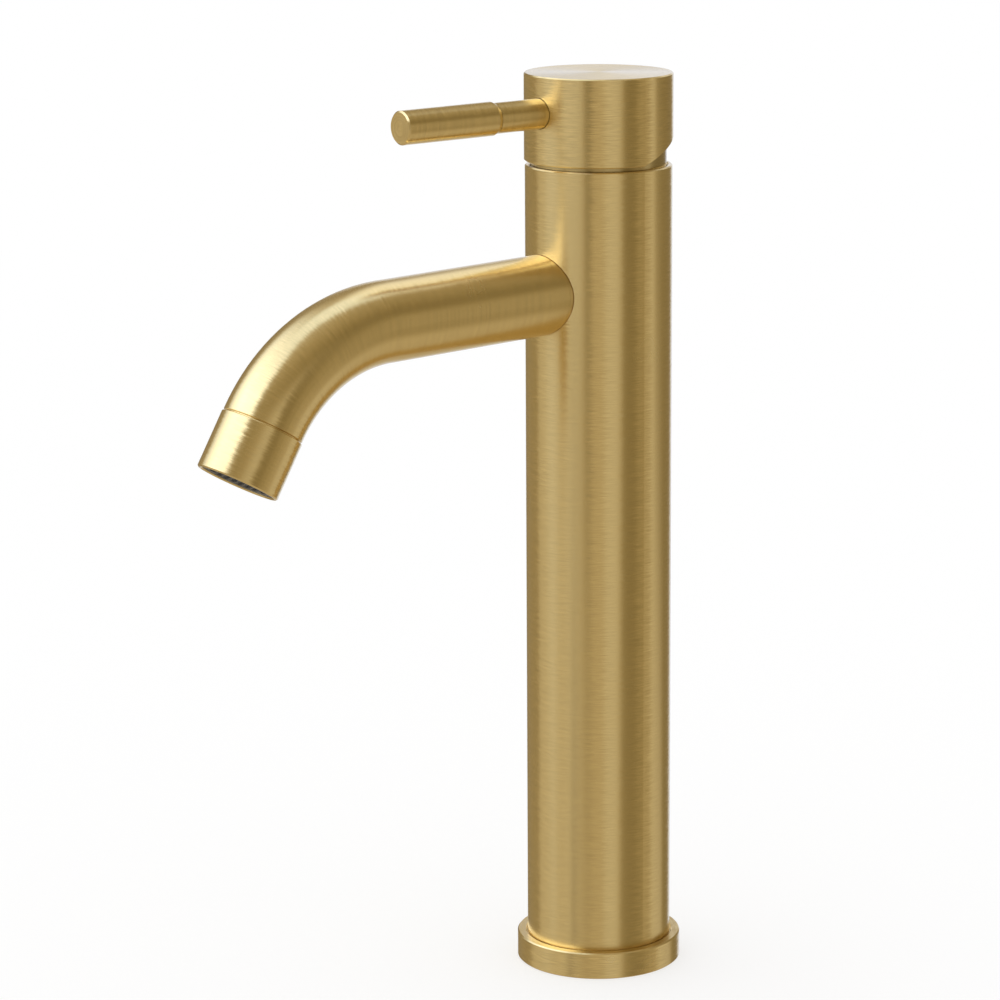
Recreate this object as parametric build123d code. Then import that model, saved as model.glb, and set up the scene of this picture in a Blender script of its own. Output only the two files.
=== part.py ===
from build123d import *
import os
from math import cos, radians, sin, tan

# Tall single-lever basin mixer, in millimetres. Z is up and the origin is on the
# column's axis at deck level. The spout and the lever point along -Y.

# Clearances
SNUG = 0.01                  # press fit between pieces of one body
RUNNING_FIT = 0.04           # pin in a turning piece
TURNING_FIT = 0.08           # turret in the cartridge roof
SOLDER_GAP = 0.05            # brazed, screwed and slip fits
SIDE_GAP = 0.15              # sliding faces that only guide
FREE_GAP = 0.3               # neighbours that move past each other
DISC_FILM = 0.02             # water film between the ceramic discs

# Edges
EDGE_BEVEL = 0.4             # bevel on the edges that show
SEAM_BEVEL = 0.25            # bevel on each side of a fine seam
SEAM_GAP = 0.35              # open width of a fine seam
SEAM_DEPTH = 0.8             # depth of the seam round the column's foot

# Ceramic cartridge, 35 mm size
CARTRIDGE_RADIUS = 17.5
CARTRIDGE_WALL = 1.7
HOUSING_NECK_STEP = 1.3      # shoulder that the nut presses on
HOUSING_NECK_WALL = 2.0
HOUSING_ROOF = 3.4
HOUSING_RIM = 0.7            # rim that holds the limit ring
SHOULDER_RISE = 3.0          # shoulder above the moving disc
BASE_THICKNESS = 6.0         # cartridge foot below the fixed disc
BASE_FLANGE = 3.4
BASE_RIM = 2.0               # rim round the fixed disc
SEAL_STAND = 0.5             # seal standing out of the foot
SEAL_POCKET = 1.0
SEAL_WALL = 1.2
FIXED_DISC_STEP = 2.3        # fixed disc inside the housing's bore
FIXED_DISC_THICKNESS = 4.5
MOVING_DISC_GAP = 0.9        # housing round the moving disc at its furthest
MOVING_DISC_THICKNESS = 4.5
MIXING_DEPTH = 2.0           # hollow under the moving disc
PORT_STEP = 4.7              # middle of the inlet ports inside the fixed disc's edge
PORT_WIDTH = 3.2
PORT_LAND = 0.8              # ceramic between a closed port and the hollow
PORT_SPREAD_ANGLE = 54.0           # angle of each inlet port from the front
PORT_ARC_ANGLE = 36.0              # angle along each inlet port, between its end centres
OUTLET_RADIUS = 3.5
OUTLET_SETBACK = 2.0         # outlet port behind the axis

# Spindle, turret and slider
LIFT_ANGLE = 22.0            # lever travel, closed to full flow
TURN_ANGLE = 45.0            # lever travel to each side, cold to hot
PIVOT_RISE = 5.7             # tilt axis above the column's top edge
PIN_RADIUS = 1.5
PIN_SETBACK = 0.4            # each pin end inside the turret's side
SPINDLE_WIDTH = 8.0
SPINDLE_SHANK = 4.0          # square part below the tilt axis
TOE_DROP = 11.0              # centre of the ball toe below the tilt axis
TOE_RADIUS = 3.0
NECK_RADIUS = 2.4
TURRET_STEP = 3.0            # turret inside its flange
TURRET_RISE = 3.5            # turret above the tilt axis
TURRET_FLANGE = 3.0
TURRET_FLANGE_GAP = 0.4
LUG_REACH = 1.8              # stop lug beyond the turret
LUG_SPREAD_ANGLE = 10.0            # half angle of the stop lug
STOP_SPARE_ANGLE = 2.0             # angle left at each stop
LIMIT_RING_HEIGHT = 2.4
CARRIER_GAP = 0.6            # housing round the carrier at its furthest
CARRIER_FLOOR = 4.1          # carrier below the toe's socket
TOE_FLOOR_GAP = 0.4
RAIL_WIDTH = 1.6
RAIL_STEP = 2.1              # middle of each guide rail inside the carrier's edge
RAIL_HEIGHT = 2.0
RAIL_LENGTH = 10.0
PEG_RADIUS = 1.2
PEG_LENGTH = 1.5
PEG_STEP = 3.8               # peg inside the moving disc's edge

# Valve body and cartridge nut
NUT_STEP = 2.0               # nut thread beyond the cartridge
NUT_THREAD = 4.5
NUT_HEAD = 4.5
NUT_FLAT_STEP = 2.5          # thread radius less half the width across flats
VALVE_WALL = 2.8
VALVE_WAIST = 1.4            # depth of the lightening groove
VALVE_BAND = 5.0             # full-width band above the groove
VALVE_STUB = 8.0             # narrow foot that takes the risers
STUB_WALL = 1.8
SEAT_TO_SPOUT = 11.67        # cartridge seat down to the spout's axis
SPOUT_TO_STUB = 15.5

# Column and base
BODY_TOP = 269.3
BODY_WALL = 1.6
FLANGE_OVERHANG = 3.4
FLANGE_HEIGHT = 8.9
LIP_THICKNESS = 1.8          # flange lip under the column
LIP_REACH = 3.0
GASKET_WIDTH = 3.0
GASKET_THICKNESS = 1.0
O_RING_SECTION = 1.6
O_RING_GROOVE_WIDTH = 2.0
FLANGE_GROOVE_HEIGHT = 5.0
INSERT_RECESS = 0.8          # plug above the column's lower end
INSERT_WEB = 1.0
INLET_CORE_RADIUS = 4.46     # M10 x 1 hose thread
INLET_DEPTH = 9.0
STUD_CORE_RADIUS = 3.4       # M8 stud thread
STUD_DEPTH = 12.0
STUD_SPACING = 30.0
RISER_RADIUS = 5.0
RISER_WALL = 1.2
RISER_SOCKET = 6.0
INLET_CHANNEL_RADIUS = 2.4
SPOUT_CHANNEL_RADIUS = 3.0   # drilling from the outlet port to the nipple

# Trim ring
TRIM_WALL = 1.5
TRIM_RISE = 7.7              # trim ring above the column's top edge
TRIM_LIP = 1.2
TRIM_MOUTH_GAP = 0.6         # lip round the cartridge neck

# Spout and aerator
SPOUT_RADIUS = 13.14
SPOUT_WALL = 1.5
SPOUT_DROOP_ANGLE = 2.0      # fall of the straight run
SPOUT_STRAIGHT = 85.6        # column axis to the start of the bend
SPOUT_BEND_RADIUS = 54.6
SPOUT_BEND_ANGLE = 57.9
SPOUT_TAIL = 0.6
NIPPLE_RADIUS = 9.0
NIPPLE_BORE = 5.5
NIPPLE_INNER = 13.5          # inner end from the column's axis
NIPPLE_HEAD = 11.0
NIPPLE_GROOVE_OFFSET = 2.4   # seal groove from the inner end
SPIGOT_LENGTH = 5.0
COLLAR_STEP = 0.25           # collar beyond the spout
COLLAR_LENGTH = 19.4
COLLAR_WALL = 1.4
COLLAR_LEDGE = 2.0
LEDGE_WIDTH = 1.8
WASHER_THICKNESS = 1.5
OUTLET_RECESS = 0.5          # aerator inside the collar's mouth
AERATOR_WALL = 1.5
JET_PLATE = 1.5
JET_RADIUS = 0.8
JET_CIRCLE = 6.0
JET_COUNT = 10
REGULATOR_THICKNESS = 2.4
REGULATOR_BORE = 2.0
SCREEN_THICKNESS = 2.2
SCREEN_RIM = 1.2
SCREEN_PITCH = 2.7
SCREEN_RIB = 0.5

# Handle
CAP_OVERHANG = 0.25
CAP_GAP = 1.3
CAP_HEIGHT = 28.5
CAP_WALL = 1.35
CAP_ROOF = 4.0
RELIEF_MARGIN = 0.3          # slope of the rear relief beyond the lever's travel
RELIEF_LEAD = 0.7            # relief starts this far in front of the axis
BOSS_RADIUS = 9.5
BOSS_RISE = 8.0              # boss above the tilt axis
LEVER_BLOCK_WIDTH = 14.0
LEVER_BLOCK_DEPTH = 6.6      # block below the lever's axis
LEVER_RISE = 16.88           # lever axis above the cap's lower edge
LEVER_DROOP_ANGLE = 0.65
LEVER_RADIUS = 4.92
LEVER_HOLE_GAP = 0.16        # fine dark ring round the stem
LEVER_THREAD_RADIUS = 4.0
LEVER_THREAD = 4.0
GRUB_RADIUS = 2.5
GRUB_LENGTH = 5.2
GRUB_SOCKET = 1.25
GRUB_SOCKET_DEPTH = 2.5
SPINDLE_GRIP = 4.5           # spindle above the lever's axis
GRIP_RADIUS = 5.43
GRIP_START = 42.2
LEVER_REACH = 78.5
GRIP_SPIGOT_RADIUS = 3.4
GRIP_SPIGOT = 18.0
GRIP_BEVEL = 0.5
GRIP_TAPER = 1.3             # length of the grip's slanted rear edge
GRIP_SEAM = 0.15             # open seam behind the grip

# Travel of the discs: the toe swings forward as the lever lifts
DISC_TRAVEL = TOE_DROP * sin(radians(LIFT_ANGLE))
DISC_SETBACK = DISC_TRAVEL / 2

# Radii that follow, from the cartridge's case inwards
HOUSING_BORE = CARTRIDGE_RADIUS - CARTRIDGE_WALL
HOUSING_NECK = CARTRIDGE_RADIUS - HOUSING_NECK_STEP
HOUSING_NECK_BORE = HOUSING_NECK - HOUSING_NECK_WALL
HOUSING_RIM_BORE = HOUSING_NECK - HOUSING_RIM
FIXED_DISC_RADIUS = HOUSING_BORE - FIXED_DISC_STEP
MOVING_DISC_RADIUS = HOUSING_BORE - DISC_SETBACK - MOVING_DISC_GAP
CARRIER_RADIUS = HOUSING_NECK_BORE - DISC_SETBACK - CARRIER_GAP
TURRET_FLANGE_RADIUS = HOUSING_NECK_BORE - TURRET_FLANGE_GAP
TURRET_RADIUS = TURRET_FLANGE_RADIUS - TURRET_STEP
RAIL_OFFSET = CARRIER_RADIUS - RAIL_STEP
PEG_OFFSET = MOVING_DISC_RADIUS - PEG_STEP
PORT_RADIUS = FIXED_DISC_RADIUS - PORT_STEP
MIXING_RADIUS = PORT_RADIUS - PORT_WIDTH / 2 - PORT_LAND
PORT_X = PORT_RADIUS * sin(radians(PORT_SPREAD_ANGLE))
PORT_Y = -PORT_RADIUS * cos(radians(PORT_SPREAD_ANGLE))
PORT_PLACES = [(-PORT_X, PORT_Y), (PORT_X, PORT_Y)]

# Radii that follow, from the cartridge's case outwards
CARTRIDGE_BORE = CARTRIDGE_RADIUS + SIDE_GAP
NUT_RADIUS = CARTRIDGE_RADIUS + NUT_STEP
NUT_BORE = HOUSING_NECK + SIDE_GAP
NUT_ACROSS_FLATS = 2 * (NUT_RADIUS - NUT_FLAT_STEP)
VALVE_THREAD = NUT_RADIUS + SOLDER_GAP
VALVE_RADIUS = VALVE_THREAD + VALVE_WALL
BODY_BORE = VALVE_RADIUS + SOLDER_GAP
BODY_RADIUS = BODY_BORE + BODY_WALL
TRIM_RADIUS = BODY_BORE - FREE_GAP
FLANGE_BORE = BODY_RADIUS + SOLDER_GAP
FLANGE_RADIUS = BODY_RADIUS + FLANGE_OVERHANG
LIP_BORE = BODY_RADIUS - LIP_REACH
CAP_RADIUS = BODY_RADIUS + CAP_OVERHANG
CAP_BORE = CAP_RADIUS - CAP_WALL
STUB_RADIUS = PORT_RADIUS + RISER_RADIUS + STUB_WALL

# Heights that follow, from the column's top edge
PIVOT_Z = BODY_TOP + PIVOT_RISE
TURRET_TOP = PIVOT_Z + TURRET_RISE
TOE_Z = PIVOT_Z - TOE_DROP
CARRIER_TOP = TOE_Z + TOE_RADIUS / 2
SOCKET_FLOOR = TOE_Z - TOE_RADIUS - TOE_FLOOR_GAP
CARRIER_BOTTOM = SOCKET_FLOOR - CARRIER_FLOOR
MOVING_BOTTOM = CARRIER_BOTTOM - MOVING_DISC_THICKNESS
FIXED_TOP = MOVING_BOTTOM - DISC_FILM
FIXED_BOTTOM = FIXED_TOP - FIXED_DISC_THICKNESS
BASE_BOTTOM = FIXED_BOTTOM - BASE_THICKNESS
HOUSING_BOTTOM = BASE_BOTTOM + BASE_FLANGE
SEAT_Z = BASE_BOTTOM - SEAL_STAND
TURRET_BOTTOM = CARRIER_TOP + FREE_GAP
ROOF_BOTTOM = TURRET_BOTTOM + TURRET_FLANGE + SIDE_GAP
HOUSING_TOP = ROOF_BOTTOM + HOUSING_ROOF
SHOULDER_Z = CARRIER_BOTTOM + SHOULDER_RISE
VALVE_TOP = SHOULDER_Z + NUT_THREAD
TRIM_TOP = BODY_TOP + TRIM_RISE
SPOUT_Z = SEAT_Z - SEAT_TO_SPOUT
STUB_TOP = SPOUT_Z - SPOUT_TO_STUB
VALVE_BOTTOM = STUB_TOP - VALVE_STUB
BODY_BOTTOM = LIP_THICKNESS
INSERT_BOTTOM = BODY_BOTTOM + INSERT_RECESS
INSERT_TOP = INSERT_BOTTOM + INLET_DEPTH + INSERT_WEB + RISER_SOCKET
CAP_BOTTOM = BODY_TOP + CAP_GAP
CAP_TOP = CAP_BOTTOM + CAP_HEIGHT
CAP_CEILING = CAP_TOP - CAP_ROOF
BOSS_BOTTOM = PIVOT_Z + BOSS_RISE
LEVER_Z = CAP_BOTTOM + LEVER_RISE
SPINDLE_TOP = LEVER_Z + SPINDLE_GRIP

# Spout and aerator radii, and stations along the collar from the seam
SPOUT_BORE = SPOUT_RADIUS - SPOUT_WALL
SPIGOT_RADIUS = SPOUT_RADIUS - SPOUT_WALL / 2
LEDGE_TOP = SPIGOT_LENGTH + SOLDER_GAP + COLLAR_LEDGE
COLLAR_RADIUS = SPOUT_RADIUS + COLLAR_STEP
COLLAR_BORE = COLLAR_RADIUS - COLLAR_WALL
LEDGE_BORE = COLLAR_BORE - LEDGE_WIDTH
AERATOR_RADIUS = COLLAR_BORE - SOLDER_GAP
AERATOR_START = LEDGE_TOP + WASHER_THICKNESS
AERATOR_END = COLLAR_LENGTH - OUTLET_RECESS
AERATOR_BORE = AERATOR_RADIUS - AERATOR_WALL
SCREEN_RADIUS = AERATOR_RADIUS - AERATOR_WALL / 2
SCREEN_START = AERATOR_END - SCREEN_THICKNESS
JET_START = AERATOR_START + REGULATOR_THICKNESS

# Stations along the lever, from the column's axis
GRUB_START = SPINDLE_WIDTH / 2 + SOLDER_GAP
STEM_END = GRUB_START + GRUB_LENGTH + SOLDER_GAP
STEM_SHOULDER = STEM_END + LEVER_THREAD

STANDING = (Align.CENTER, Align.CENTER, Align.MIN)


def forward(angle):
    """Direction towards the front, the given angle below level."""
    return Vector(0, -cos(radians(angle)), -sin(radians(angle)))


def front_frame(height, droop):
    """Frame on the column's axis whose Z runs out to the front."""
    return Plane(origin=(0, 0, height), x_dir=(1, 0, 0), z_dir=forward(droop))


def turned(*profile, start=0, arc=360):
    """Turned piece about Z, from (radius, height) points."""
    outline = Polyline(*[(radius, 0, height) for radius, height in profile], close=True)
    return Rot(0, 0, start) * revolve(make_face(outline), Axis.Z, arc)


def ring(inner, outer, bottom, top, **sweep_angles):
    return turned((inner, bottom), (outer, bottom), (outer, top), (inner, top), **sweep_angles)


def rod(radius, bottom, top, x=0, y=0):
    return Pos(x, y, bottom) * Cylinder(radius, top - bottom, align=STANDING)


def block(width, depth, bottom, top, x=0, y=0):
    return Pos(x, y, bottom) * Box(width, depth, top - bottom, align=STANDING)


def o_ring(middle_radius, section, height):
    profile = Plane.XZ * Pos(middle_radius, height) * Circle(section / 2)
    return revolve(profile, Axis.Z)


def inlet_port(side, depth):
    """Kidney-shaped port on one side, from height 0 up."""
    middle = -90 + side * PORT_SPREAD_ANGLE
    line = CenterArc((0, 0), PORT_RADIUS, middle - PORT_ARC_ANGLE / 2, PORT_ARC_ANGLE)
    return extrude(SlotArc(line, PORT_WIDTH), depth)


SPOUT_FRAME = front_frame(SPOUT_Z, SPOUT_DROOP_ANGLE)
LEVER_FRAME = front_frame(LEVER_Z, LEVER_DROOP_ANGLE)


# Base and column

def base_flange():
    body = turned(
        (LIP_BORE, 0),
        (FLANGE_RADIUS - EDGE_BEVEL, 0),
        (FLANGE_RADIUS, EDGE_BEVEL),
        (FLANGE_RADIUS, FLANGE_HEIGHT - EDGE_BEVEL),
        (FLANGE_RADIUS - EDGE_BEVEL, FLANGE_HEIGHT),
        (FLANGE_BORE + SEAM_GAP + SEAM_BEVEL, FLANGE_HEIGHT),
        (FLANGE_BORE + SEAM_GAP, FLANGE_HEIGHT - SEAM_BEVEL),
        (FLANGE_BORE + SEAM_GAP, FLANGE_HEIGHT - SEAM_DEPTH),
        (FLANGE_BORE, FLANGE_HEIGHT - SEAM_DEPTH),
        (FLANGE_BORE, LIP_THICKNESS),
        (LIP_BORE, LIP_THICKNESS),
    )
    gasket_middle = (LIP_BORE + FLANGE_RADIUS) / 2
    gasket_half = GASKET_WIDTH / 2 + SOLDER_GAP
    body -= ring(gasket_middle - gasket_half, gasket_middle + gasket_half, 0, GASKET_THICKNESS)
    groove_bottom = FLANGE_GROOVE_HEIGHT - O_RING_GROOVE_WIDTH / 2
    groove_radius = FLANGE_BORE + O_RING_SECTION
    return body - ring(LIP_BORE, groove_radius, groove_bottom, groove_bottom + O_RING_GROOVE_WIDTH)


def deck_gasket():
    middle = (LIP_BORE + FLANGE_RADIUS) / 2
    return ring(middle - GASKET_WIDTH / 2, middle + GASKET_WIDTH / 2, 0, GASKET_THICKNESS)


def flange_o_ring():
    return o_ring(FLANGE_BORE + O_RING_SECTION / 2, O_RING_SECTION, FLANGE_GROOVE_HEIGHT)


def body_tube():
    tube = turned(
        (BODY_BORE, BODY_BOTTOM),
        (BODY_RADIUS, BODY_BOTTOM),
        (BODY_RADIUS, BODY_TOP - EDGE_BEVEL),
        (BODY_RADIUS - EDGE_BEVEL, BODY_TOP),
        (BODY_BORE + EDGE_BEVEL, BODY_TOP),
        (BODY_BORE, BODY_TOP - EDGE_BEVEL),
    )
    return tube - SPOUT_FRAME * rod(NIPPLE_RADIUS + SOLDER_GAP, 0, 2 * BODY_RADIUS)


def base_insert():
    plug = rod(BODY_BORE - SOLDER_GAP, INSERT_BOTTOM, INSERT_TOP)
    for x, y in PORT_PLACES:
        plug -= rod(INLET_CORE_RADIUS, INSERT_BOTTOM, INSERT_BOTTOM + INLET_DEPTH, x, y)
        plug -= rod(RISER_RADIUS - RISER_WALL, INSERT_BOTTOM, INSERT_TOP, x, y)
        plug -= rod(RISER_RADIUS + SOLDER_GAP, INSERT_TOP - RISER_SOCKET, INSERT_TOP, x, y)
    for y in (-STUD_SPACING / 2, STUD_SPACING / 2):
        plug -= rod(STUD_CORE_RADIUS, INSERT_BOTTOM, INSERT_BOTTOM + STUD_DEPTH, 0, y)
    return plug


def riser_pipe(place):
    x, y = place
    bottom = INSERT_TOP - RISER_SOCKET
    top = VALVE_BOTTOM + RISER_SOCKET
    return Pos(x, y, 0) * ring(RISER_RADIUS - RISER_WALL, RISER_RADIUS, bottom, top)


def valve_body():
    waist = VALVE_RADIUS - VALVE_WAIST
    body = turned(
        (0, VALVE_BOTTOM),
        (STUB_RADIUS, VALVE_BOTTOM),
        (STUB_RADIUS, STUB_TOP),
        (VALVE_RADIUS, STUB_TOP),
        (VALVE_RADIUS, SEAT_Z),
        (waist, SEAT_Z),
        (waist, VALVE_TOP - VALVE_BAND),
        (VALVE_RADIUS, VALVE_TOP - VALVE_BAND),
        (VALVE_RADIUS, VALVE_TOP),
        (0, VALVE_TOP),
    )
    body -= rod(CARTRIDGE_BORE, SEAT_Z, VALVE_TOP)
    body -= rod(VALVE_THREAD, SHOULDER_Z, VALVE_TOP)
    for x, y in PORT_PLACES:
        body -= rod(RISER_RADIUS + SOLDER_GAP, VALVE_BOTTOM, VALVE_BOTTOM + RISER_SOCKET, x, y)
        body -= rod(INLET_CHANNEL_RADIUS, VALVE_BOTTOM, SEAT_Z, x, y)
    body -= rod(OUTLET_RADIUS, SPOUT_Z - OUTLET_RADIUS, SEAT_Z, 0, OUTLET_SETBACK)
    body -= SPOUT_FRAME * rod(SPOUT_CHANNEL_RADIUS, -OUTLET_SETBACK, VALVE_RADIUS)
    return body - SPOUT_FRAME * rod(NIPPLE_RADIUS + SOLDER_GAP, NIPPLE_INNER, 2 * VALVE_RADIUS)


# Spout and aerator

def spout_path():
    """Line of the spout from inside the column to the seam, with the bend turning down."""
    end_angle = SPOUT_DROOP_ANGLE + SPOUT_BEND_ANGLE
    bend_start = SPOUT_FRAME.origin + SPOUT_STRAIGHT * forward(SPOUT_DROOP_ANGLE)
    centre = bend_start + SPOUT_BEND_RADIUS * forward(SPOUT_DROOP_ANGLE + 90)
    bend_middle = centre - SPOUT_BEND_RADIUS * forward(SPOUT_DROOP_ANGLE + SPOUT_BEND_ANGLE / 2 + 90)
    bend_end = centre - SPOUT_BEND_RADIUS * forward(end_angle + 90)
    root = SPOUT_FRAME.origin + BODY_BORE / 2 * forward(SPOUT_DROOP_ANGLE)
    seam = bend_end + SPOUT_TAIL * forward(end_angle)
    run = Line(root, bend_start)
    bend = ThreePointArc(bend_start, bend_middle, bend_end)
    return Wire([run, bend, Line(bend_end, seam)]), seam, end_angle


SPOUT_PATH, SEAM_POINT, END_ANGLE = spout_path()
END_FRAME = Plane(origin=SEAM_POINT, x_dir=(1, 0, 0), z_dir=forward(END_ANGLE))


def swept_along_spout(radius):
    start = Plane(origin=SPOUT_PATH @ 0, x_dir=(1, 0, 0), z_dir=forward(SPOUT_DROOP_ANGLE))
    return sweep(start * Circle(radius), path=SPOUT_PATH)


def spout_tube():
    outside = swept_along_spout(SPOUT_RADIUS)
    outside -= END_FRAME * turned(
        (SPOUT_RADIUS - SEAM_BEVEL, 0),
        (SPOUT_RADIUS + SEAM_BEVEL, 0),
        (SPOUT_RADIUS + SEAM_BEVEL, -2 * SEAM_BEVEL),
    )
    spigot = END_FRAME * ring(SPOUT_BORE, SPIGOT_RADIUS, 0, SPIGOT_LENGTH)
    tube = outside - swept_along_spout(SPOUT_BORE) + spigot
    root_seam = SPOUT_FRAME * ring(SPOUT_RADIUS - SEAM_BEVEL, 2 * SPOUT_RADIUS, 0, 2 * BODY_RADIUS)
    tube -= root_seam & rod(BODY_RADIUS + SEAM_GAP, 0, CAP_TOP)
    return tube - rod(BODY_RADIUS + SOLDER_GAP, 0, CAP_TOP)


def spout_nipple():
    fall = radians(SPOUT_DROOP_ANGLE)
    head = BODY_RADIUS / cos(fall) + SPOUT_BORE * tan(fall) + SIDE_GAP
    groove_start = NIPPLE_INNER + NIPPLE_GROOVE_OFFSET
    groove_radius = NIPPLE_RADIUS - O_RING_SECTION
    return SPOUT_FRAME * turned(
        (NIPPLE_BORE, NIPPLE_INNER),
        (NIPPLE_RADIUS, NIPPLE_INNER),
        (NIPPLE_RADIUS, groove_start),
        (groove_radius, groove_start),
        (groove_radius, groove_start + O_RING_GROOVE_WIDTH),
        (NIPPLE_RADIUS, groove_start + O_RING_GROOVE_WIDTH),
        (NIPPLE_RADIUS, head),
        (SPOUT_BORE - SOLDER_GAP, head),
        (SPOUT_BORE - SOLDER_GAP, head + NIPPLE_HEAD),
        (NIPPLE_BORE, head + NIPPLE_HEAD),
    )


def spout_o_ring():
    middle = NIPPLE_INNER + NIPPLE_GROOVE_OFFSET + O_RING_GROOVE_WIDTH / 2
    return SPOUT_FRAME * o_ring(NIPPLE_RADIUS - O_RING_SECTION / 2, O_RING_SECTION, middle)


def aerator_collar():
    counterbore = SPIGOT_RADIUS + SOLDER_GAP
    return END_FRAME * turned(
        (counterbore, SEAM_GAP),
        (COLLAR_RADIUS - SEAM_BEVEL, SEAM_GAP),
        (COLLAR_RADIUS, SEAM_GAP + SEAM_BEVEL),
        (COLLAR_RADIUS, COLLAR_LENGTH - EDGE_BEVEL),
        (COLLAR_RADIUS - EDGE_BEVEL, COLLAR_LENGTH),
        (COLLAR_BORE + EDGE_BEVEL, COLLAR_LENGTH),
        (COLLAR_BORE, COLLAR_LENGTH - EDGE_BEVEL),
        (COLLAR_BORE, LEDGE_TOP),
        (LEDGE_BORE, LEDGE_TOP),
        (LEDGE_BORE, LEDGE_TOP - COLLAR_LEDGE),
        (counterbore, LEDGE_TOP - COLLAR_LEDGE),
    )


def aerator_washer():
    return END_FRAME * ring(LEDGE_BORE, AERATOR_RADIUS, LEDGE_TOP, AERATOR_START)


def aerator_housing():
    sleeve = turned(
        (0, JET_START),
        (AERATOR_BORE, JET_START),
        (AERATOR_BORE, AERATOR_START),
        (AERATOR_RADIUS, AERATOR_START),
        (AERATOR_RADIUS, AERATOR_END),
        (SCREEN_RADIUS, AERATOR_END),
        (SCREEN_RADIUS, SCREEN_START),
        (AERATOR_BORE, SCREEN_START),
        (AERATOR_BORE, JET_START + JET_PLATE),
        (0, JET_START + JET_PLATE),
    )
    for jet in PolarLocations(JET_CIRCLE, JET_COUNT):
        sleeve -= jet * rod(JET_RADIUS, JET_START, JET_START + JET_PLATE)
    return END_FRAME * sleeve


def flow_regulator():
    disc = ring(REGULATOR_BORE, AERATOR_BORE - SOLDER_GAP, AERATOR_START, JET_START)
    for jet in PolarLocations(JET_CIRCLE, JET_COUNT):
        disc -= jet * rod(JET_RADIUS, AERATOR_START, JET_START)
    return END_FRAME * disc


def aerator_screen():
    disc = rod(SCREEN_RADIUS - SOLDER_GAP, SCREEN_START, AERATOR_END)
    gap_radius = SCREEN_PITCH / 2 - SCREEN_RIB / 2
    across = int(2 * SCREEN_RADIUS / SCREEN_PITCH) + 2
    gap = RegularPolygon(gap_radius, 6, major_radius=False, rotation=30)
    for place in HexLocations(SCREEN_PITCH / 2, across, across):
        reach = place.position.length + SCREEN_PITCH / 2
        if reach < SCREEN_RADIUS - SCREEN_RIM:
            disc -= Pos(0, 0, SCREEN_START) * place * extrude(gap, SCREEN_THICKNESS)
    return END_FRAME * disc


# Cartridge

def seal_places():
    """Radius and place of each water passage through the cartridge's foot."""
    inlets = [(INLET_CHANNEL_RADIUS, x, y) for x, y in PORT_PLACES]
    return inlets + [(OUTLET_RADIUS, 0, OUTLET_SETBACK)]


def cartridge_base():
    base = turned(
        (0, BASE_BOTTOM),
        (CARTRIDGE_RADIUS, BASE_BOTTOM),
        (CARTRIDGE_RADIUS, HOUSING_BOTTOM),
        (HOUSING_BORE - SIDE_GAP, HOUSING_BOTTOM),
        (HOUSING_BORE - SIDE_GAP, FIXED_BOTTOM + BASE_RIM),
        (FIXED_DISC_RADIUS + SOLDER_GAP, FIXED_BOTTOM + BASE_RIM),
        (FIXED_DISC_RADIUS + SOLDER_GAP, FIXED_BOTTOM),
        (0, FIXED_BOTTOM),
    )
    for radius, x, y in seal_places():
        pocket = radius + SEAL_WALL + SOLDER_GAP
        base -= rod(radius, BASE_BOTTOM, FIXED_BOTTOM, x, y)
        base -= rod(pocket, BASE_BOTTOM, BASE_BOTTOM + SEAL_POCKET, x, y)
    return base


def cartridge_seals():
    top = BASE_BOTTOM + SEAL_POCKET
    seals = []
    for radius, x, y in seal_places():
        seals.append(Pos(x, y, 0) * ring(radius, radius + SEAL_WALL, SEAT_Z, top))
    return Compound(seals)


def fixed_disc():
    disc = rod(FIXED_DISC_RADIUS, FIXED_BOTTOM, FIXED_TOP)
    for side in (-1, 1):
        disc -= Pos(0, 0, FIXED_BOTTOM) * inlet_port(side, FIXED_DISC_THICKNESS)
    return disc - rod(OUTLET_RADIUS, FIXED_BOTTOM, FIXED_TOP, 0, OUTLET_SETBACK)


def moving_disc():
    disc = rod(MOVING_DISC_RADIUS, MOVING_BOTTOM, CARRIER_BOTTOM, 0, DISC_SETBACK)
    disc -= rod(MIXING_RADIUS, MOVING_BOTTOM, MOVING_BOTTOM + MIXING_DEPTH)
    for x in (-PEG_OFFSET, PEG_OFFSET):
        hole_bottom = CARRIER_BOTTOM - PEG_LENGTH - SOLDER_GAP
        disc -= rod(PEG_RADIUS + SOLDER_GAP, hole_bottom, CARRIER_BOTTOM, x, DISC_SETBACK)
    return disc


def disc_carrier():
    carrier = rod(CARRIER_RADIUS, CARRIER_BOTTOM, CARRIER_TOP, 0, DISC_SETBACK)
    socket_width = 2 * (TOE_RADIUS + SIDE_GAP)
    carrier -= block(socket_width, socket_width, SOCKET_FLOOR, CARRIER_TOP)
    groove_width = RAIL_WIDTH + 2 * SIDE_GAP
    groove_bottom = TURRET_BOTTOM - RAIL_HEIGHT - FREE_GAP
    for x in (-RAIL_OFFSET, RAIL_OFFSET):
        carrier -= block(groove_width, 4 * CARRIER_RADIUS, groove_bottom, CARRIER_TOP, x)
    for x in (-PEG_OFFSET, PEG_OFFSET):
        carrier += rod(PEG_RADIUS, CARRIER_BOTTOM - PEG_LENGTH, CARRIER_BOTTOM, x, DISC_SETBACK)
    return carrier


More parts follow.
